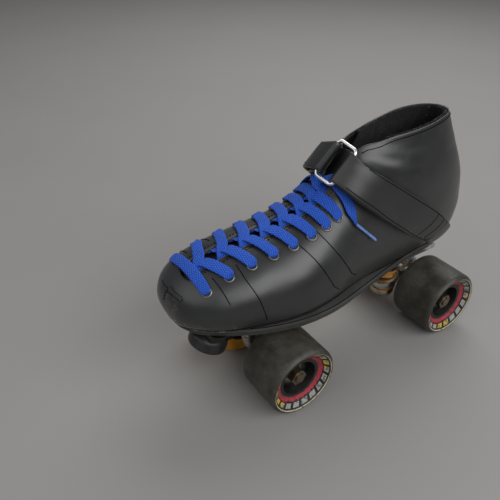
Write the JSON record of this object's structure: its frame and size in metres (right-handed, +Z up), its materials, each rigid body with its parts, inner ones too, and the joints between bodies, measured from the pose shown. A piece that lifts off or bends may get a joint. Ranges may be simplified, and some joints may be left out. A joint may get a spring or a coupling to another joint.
{
  "type": "quad speed skate",
  "caption": "Low-cut laced leather quad speed skate with an ankle strap and ring, a toe plug, cushioned steering trucks and wide spoked wheels.",
  "frame": {"origin": "on the floor, midway between heel and toe and midway between the wheels", "axes": "+X to the toe, +Y to the outer (lateral) side of the left foot, +Z up"},
  "size_m": [0.294, 0.128, 0.2],
  "materials": {
    "boot_leather": "satin black, lightly scuffed",
    "lining_pile": "soft black pile",
    "tongue_leather": "matt black",
    "insole_cloth": "matt",
    "sole_rubber": "matt black",
    "welt_leather": "matt dark",
    "eyelet_metal": "dark satin",
    "lace_cloth": "woven blue",
    "aglet_plastic": "clear pale blue",
    "strap_leather": "satin black",
    "closure_cloth": "matt black hook and loop",
    "ring_metal": "polished",
    "cast_metal": "polished casting",
    "steel": "bright",
    "plug_rubber": "matt black",
    "cup_rubber": "matt black",
    "cushion_urethane": "amber, slightly clear",
    "retainer_metal": "plated",
    "tyre_grey": "satin grey-olive urethane",
    "tyre_amber": "satin amber urethane",
    "hub_nylon": "black moulded nylon",
    "bearing_steel": "bright"
  },
  "bodies": {
    "skate": {"boot_upper": "boot_leather", "boot_lining": "lining_pile", "tongue": "tongue_leather", "insole": "insole_cloth", "outsole": "sole_rubber", "welt": "welt_leather", "eyelets": "eyelet_metal", "lace": "lace_cloth", "outer_lace_end": "lace_cloth", "inner_lace_end": "lace_cloth", "aglets": "aglet_plastic", "ankle_strap": "strap_leather", "loop_patch": "closure_cloth", "ring_strap": "strap_leather", "strap_ring": "ring_metal", "plate": "cast_metal", "plate_screws": "steel", "toe_plug": "plug_rubber", "toe_plug_bolt": "steel", "kingpins": "steel", "kingpin_nuts": "steel", "cushion_retainers": "retainer_metal", "pivot_cups": "cup_rubber", "front_upper_cushion": "cushion_urethane", "front_lower_cushion": "cushion_urethane", "rear_upper_cushion": "cushion_urethane", "rear_lower_cushion": "cushion_urethane"},
    "strap_end": {"strap_flap": "strap_leather", "hook_patch": "closure_cloth"},
    "front_truck": {"front_hanger": "cast_metal", "front_pivot_pin": "steel", "front_pivot_nut": "steel", "front_axle": "steel", "front_inner_races": "bearing_steel", "front_bearing_spacers": "steel", "front_axle_nuts": "steel"},
    "front_lateral_wheel": {"front_lateral_tyre": "tyre_grey", "front_lateral_hub": "hub_nylon", "front_lateral_bearings": "bearing_steel"},
    "front_medial_wheel": {"front_medial_tyre": "tyre_amber", "front_medial_hub": "hub_nylon", "front_medial_bearings": "bearing_steel"},
    "rear_truck": {"rear_hanger": "cast_metal", "rear_pivot_pin": "steel", "rear_pivot_nut": "steel", "rear_axle": "steel", "rear_inner_races": "bearing_steel", "rear_bearing_spacers": "steel", "rear_axle_nuts": "steel"},
    "rear_lateral_wheel": {"rear_lateral_tyre": "tyre_grey", "rear_lateral_hub": "hub_nylon", "rear_lateral_bearings": "bearing_steel"},
    "rear_medial_wheel": {"rear_medial_tyre": "tyre_amber", "rear_medial_hub": "hub_nylon", "rear_medial_bearings": "bearing_steel"}
  },
  "joints": [
    {"name": "front_steer", "type": "hinge", "parent": "skate", "child": "front_truck", "pos_m": [0.08175, 0, 0.0535], "axis": [-0.8894, 0, -0.4571], "range_deg": [-8, 8], "stiffness_Nm_per_rad": 30, "deforming": ["front_upper_cushion", "front_lower_cushion"]},
    {"name": "rear_steer", "type": "hinge", "parent": "skate", "child": "rear_truck", "pos_m": [-0.11575, 0, 0.0535], "axis": [0.8894, 0, -0.4571], "range_deg": [-8, 8], "stiffness_Nm_per_rad": 30, "deforming": ["rear_upper_cushion", "rear_lower_cushion"]},
    {"name": "front_lateral_spin", "type": "hinge", "parent": "front_truck", "child": "front_lateral_wheel", "pos_m": [0.06875, 0, 0.031], "axis": [0, 1, 0], "continuous": true},
    {"name": "front_medial_spin", "type": "hinge", "parent": "front_truck", "child": "front_medial_wheel", "pos_m": [0.06875, 0, 0.031], "axis": [0, 1, 0], "continuous": true},
    {"name": "rear_lateral_spin", "type": "hinge", "parent": "rear_truck", "child": "rear_lateral_wheel", "pos_m": [-0.10275, 0, 0.031], "axis": [0, 1, 0], "continuous": true},
    {"name": "rear_medial_spin", "type": "hinge", "parent": "rear_truck", "child": "rear_medial_wheel", "pos_m": [-0.10275, 0, 0.031], "axis": [0, 1, 0], "continuous": true},
    {"name": "strap_lift", "type": "hinge", "parent": "skate", "child": "strap_end", "pos_m": [0.00674, 0.01849, 0.18074], "axis": [0.6453, -0.0904, -0.7586], "range_deg": [0, 95]}
  ]
}
